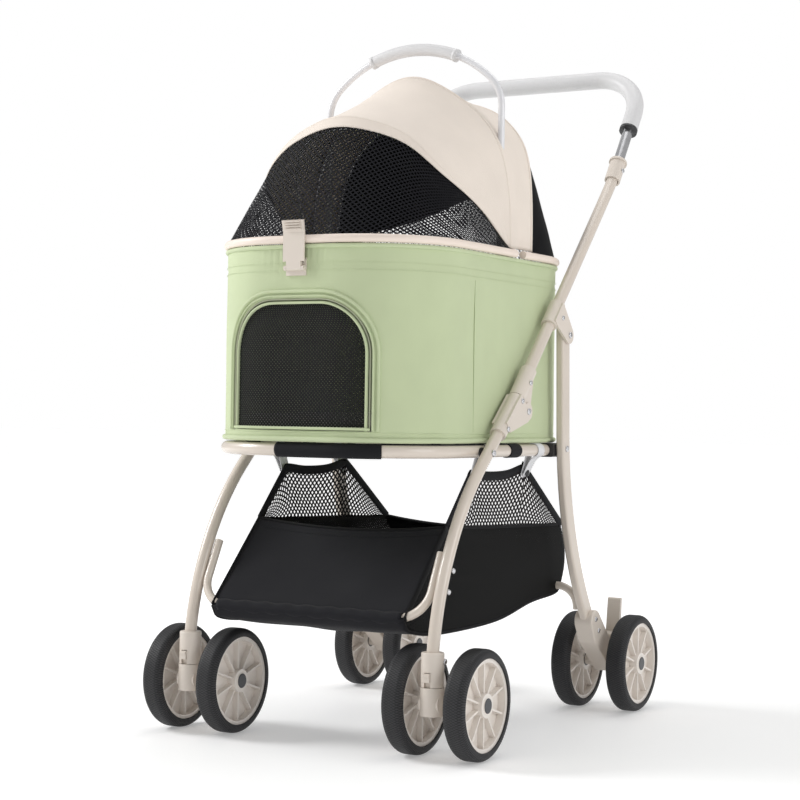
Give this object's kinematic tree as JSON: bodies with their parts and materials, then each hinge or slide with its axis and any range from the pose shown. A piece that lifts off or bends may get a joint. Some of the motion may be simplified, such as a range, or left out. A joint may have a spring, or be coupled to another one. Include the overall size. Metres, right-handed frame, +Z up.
{
  "type": "pet stroller",
  "caption": "Folding pet stroller: lift-off oval carrier with hinged canopy and zip door on a tube frame, double swivel front wheels, rear brakes, push bar and under-seat basket.",
  "frame": {"origin": "on the ground under the centre of the stroller's bounding box", "axes": "+X towards the stroller's left side, -Y forward, +Z up"},
  "size_m": [0.527, 0.7709, 1.0378],
  "materials": {
    "frame_paint": "satin warm cream enamel",
    "tyre_foam": "black foam tyre with a fine cross-hatch tread",
    "hub_plastic": "off-white moulded plastic",
    "cream_plastic": "cream moulded plastic",
    "black_plastic": "black moulded plastic",
    "bright_steel": "polished steel",
    "grip_leather": "stitched pale leatherette",
    "black_webbing": "black webbing",
    "white_webbing": "white webbing with black snaps",
    "black_mesh": "black open mesh with bound edges",
    "basket_cloth": "black canvas and mesh",
    "tub_cloth": "pale green woven cloth",
    "canopy_cloth": "pinkish cream woven cloth",
    "rim_tube": "pinkish cream enamel",
    "board": "covered fibre board",
    "cushion_cloth": "soft quilted cloth"
  },
  "bodies": {
    "seat_frame": {"seat_ring": "frame_paint", "ring_bearings": "black_plastic", "ring_straps": "black_webbing", "basket_loops": "white_webbing", "basket": "basket_cloth"},
    "front_frame": {"front_legs": "frame_paint", "front_basket_bar": "frame_paint", "caster_housings": "cream_plastic", "hinge_brackets_lower": "cream_plastic", "front_bolts": "bright_steel"},
    "rear_frame": {"rear_legs": "frame_paint", "rear_basket_bar": "frame_paint", "rear_wheel_housings": "cream_plastic", "rear_axles": "bright_steel", "rear_bolts": "bright_steel"},
    "push_frame": {"handle_tubes": "frame_paint", "push_bar": "bright_steel", "push_grip": "grip_leather", "handle_collars": "cream_plastic", "hinge_brackets_upper": "cream_plastic", "leg_brackets": "cream_plastic", "handle_bolts": "bright_steel"},
    "carrier": {"tub": "tub_cloth", "base_board": "board", "cushion": "cushion_cloth", "tub_rim": "rim_tube", "carrier_brackets": "cream_plastic", "fixed_bows": "bright_steel", "canopy_rear": "canopy_cloth", "canopy_back_panel": "black_mesh"},
    "latch": {"latch_lever": "cream_plastic"},
    "door": {"door_panel": "tub_cloth"},
    "front_bow": {"front_bow": "bright_steel", "canopy_front": "canopy_cloth"},
    "lid": {"lid_rim": "rim_tube", "front_mesh": "black_mesh"},
    "hoop": {"hoop_tube": "frame_paint", "hoop_grip": "cream_plastic"},
    "caster_L": {"caster_fork_L": "cream_plastic"},
    "swivel_lock_L": {"swivel_lock_L": "cream_plastic"},
    "brake_pedal_L": {"brake_pedal_L": "cream_plastic"},
    "wheel_front_outer_L": {"tyre_front_outer_L": "tyre_foam", "hub_front_outer_L": "hub_plastic"},
    "wheel_front_inner_L": {"tyre_front_inner_L": "tyre_foam", "hub_front_inner_L": "hub_plastic"},
    "wheel_rear_outer_L": {"tyre_rear_outer_L": "tyre_foam", "hub_rear_outer_L": "hub_plastic"},
    "wheel_rear_inner_L": {"tyre_rear_inner_L": "tyre_foam", "hub_rear_inner_L": "hub_plastic"},
    "caster_R": {"caster_fork_R": "cream_plastic"},
    "swivel_lock_R": {"swivel_lock_R": "cream_plastic"},
    "brake_pedal_R": {"brake_pedal_R": "cream_plastic"},
    "wheel_front_outer_R": {"tyre_front_outer_R": "tyre_foam", "hub_front_outer_R": "hub_plastic"},
    "wheel_front_inner_R": {"tyre_front_inner_R": "tyre_foam", "hub_front_inner_R": "hub_plastic"},
    "wheel_rear_outer_R": {"tyre_rear_outer_R": "tyre_foam", "hub_rear_outer_R": "hub_plastic"},
    "wheel_rear_inner_R": {"tyre_rear_inner_R": "tyre_foam", "hub_rear_inner_R": "hub_plastic"}
  },
  "joints": [
    {"name": "fold", "type": "hinge", "parent": "seat_frame", "child": "front_frame", "pos_m": [0, -0.17844, 0.408], "axis": [1, 0, 0], "range_deg": [0, 90], "deforming": ["basket"]},
    {"name": "rear_leg_fold", "type": "hinge", "parent": "seat_frame", "child": "rear_frame", "pos_m": [0, 0.06393, 0.412], "axis": [1, 0, 0], "range_deg": [0, 44.89]},
    {"name": "handle_fold", "type": "hinge", "parent": "front_frame", "child": "push_frame", "pos_m": [0, -0.07622, 0.46708], "axis": [-1, 0, 0], "range_deg": [0, 123.94]},
    {"name": "caster_swivel_L", "type": "hinge", "parent": "front_frame", "child": "caster_L", "pos_m": [0.198, -0.32957, 0.1], "axis": [0, 0, 1], "continuous": true},
    {"name": "swivel_lock_L_slide", "type": "slide", "parent": "front_frame", "child": "swivel_lock_L", "axis": [0, 0, -1], "range_m": [0, 0.005]},
    {"name": "brake_L", "type": "hinge", "parent": "rear_frame", "child": "brake_pedal_L", "pos_m": [0.2, 0.23943, 0.113], "axis": [-1, 0, 0], "range_deg": [0, 22]},
    {"name": "wheel_front_outer_L_spin", "type": "hinge", "parent": "caster_L", "child": "wheel_front_outer_L", "pos_m": [0.198, -0.28907, 0.075], "axis": [1, 0, 0], "continuous": true},
    {"name": "wheel_front_inner_L_spin", "type": "hinge", "parent": "caster_L", "child": "wheel_front_inner_L", "pos_m": [0.198, -0.28907, 0.075], "axis": [1, 0, 0], "continuous": true},
    {"name": "wheel_rear_outer_L_spin", "type": "hinge", "parent": "rear_frame", "child": "wheel_rear_outer_L", "pos_m": [0.2, 0.23343, 0.075], "axis": [1, 0, 0], "continuous": true},
    {"name": "wheel_rear_inner_L_spin", "type": "hinge", "parent": "rear_frame", "child": "wheel_rear_inner_L", "pos_m": [0.2, 0.23343, 0.075], "axis": [1, 0, 0], "continuous": true},
    {"name": "caster_swivel_R", "type": "hinge", "parent": "front_frame", "child": "caster_R", "pos_m": [-0.198, -0.32957, 0.1], "axis": [0, 0, 1], "continuous": true},
    {"name": "swivel_lock_R_slide", "type": "slide", "parent": "front_frame", "child": "swivel_lock_R", "axis": [0, 0, -1], "range_m": [0, 0.005]},
    {"name": "brake_R", "type": "hinge", "parent": "rear_frame", "child": "brake_pedal_R", "pos_m": [-0.2, 0.23943, 0.113], "axis": [-1, 0, 0], "range_deg": [0, 22]},
    {"name": "wheel_front_outer_R_spin", "type": "hinge", "parent": "caster_R", "child": "wheel_front_outer_R", "pos_m": [-0.198, -0.28907, 0.075], "axis": [1, 0, 0], "continuous": true},
    {"name": "wheel_front_inner_R_spin", "type": "hinge", "parent": "caster_R", "child": "wheel_front_inner_R", "pos_m": [-0.198, -0.28907, 0.075], "axis": [1, 0, 0], "continuous": true},
    {"name": "wheel_rear_outer_R_spin", "type": "hinge", "parent": "rear_frame", "child": "wheel_rear_outer_R", "pos_m": [-0.2, 0.23343, 0.075], "axis": [1, 0, 0], "continuous": true},
    {"name": "wheel_rear_inner_R_spin", "type": "hinge", "parent": "rear_frame", "child": "wheel_rear_inner_R", "pos_m": [-0.2, 0.23343, 0.075], "axis": [1, 0, 0], "continuous": true},
    {"name": "carrier_lift", "type": "slide", "parent": "seat_frame", "child": "carrier", "axis": [0, 0, 1], "range_m": [0, 0.3]},
    {"name": "carry_hoop", "type": "hinge", "parent": "carrier", "child": "hoop", "pos_m": [0, -0.05507, 0.7], "axis": [-1, 0, 0], "range_deg": [0, 6]},
    {"name": "canopy", "type": "hinge", "parent": "carrier", "child": "front_bow", "pos_m": [0, -0.05507, 0.7], "axis": [-1, 0, 0], "range_deg": [0, 33], "deforming": ["canopy_front", "front_mesh"]},
    {"name": "lid", "type": "hinge", "parent": "front_bow", "child": "lid", "pos_m": [0, -0.05507, 0.7], "axis": [-1, 0, 0], "range_deg": [0, 42]},
    {"name": "latch_release", "type": "hinge", "parent": "carrier", "child": "latch", "pos_m": [0, -0.37627, 0.657], "axis": [1, 0, 0], "range_deg": [0, 100]},
    {"name": "front_door", "type": "hinge", "parent": "carrier", "child": "door", "pos_m": [0, -0.37067, 0.4372], "axis": [1, 0, 0], "range_deg": [0, 95]}
  ],
  "couplings": [
    {"joint": "rear_leg_fold", "follows": "fold", "ratio": 0.49874},
    {"joint": "handle_fold", "follows": "fold", "ratio": 1.3771},
    {"joint": "lid", "follows": "canopy", "ratio": 1.2727}
  ]
}
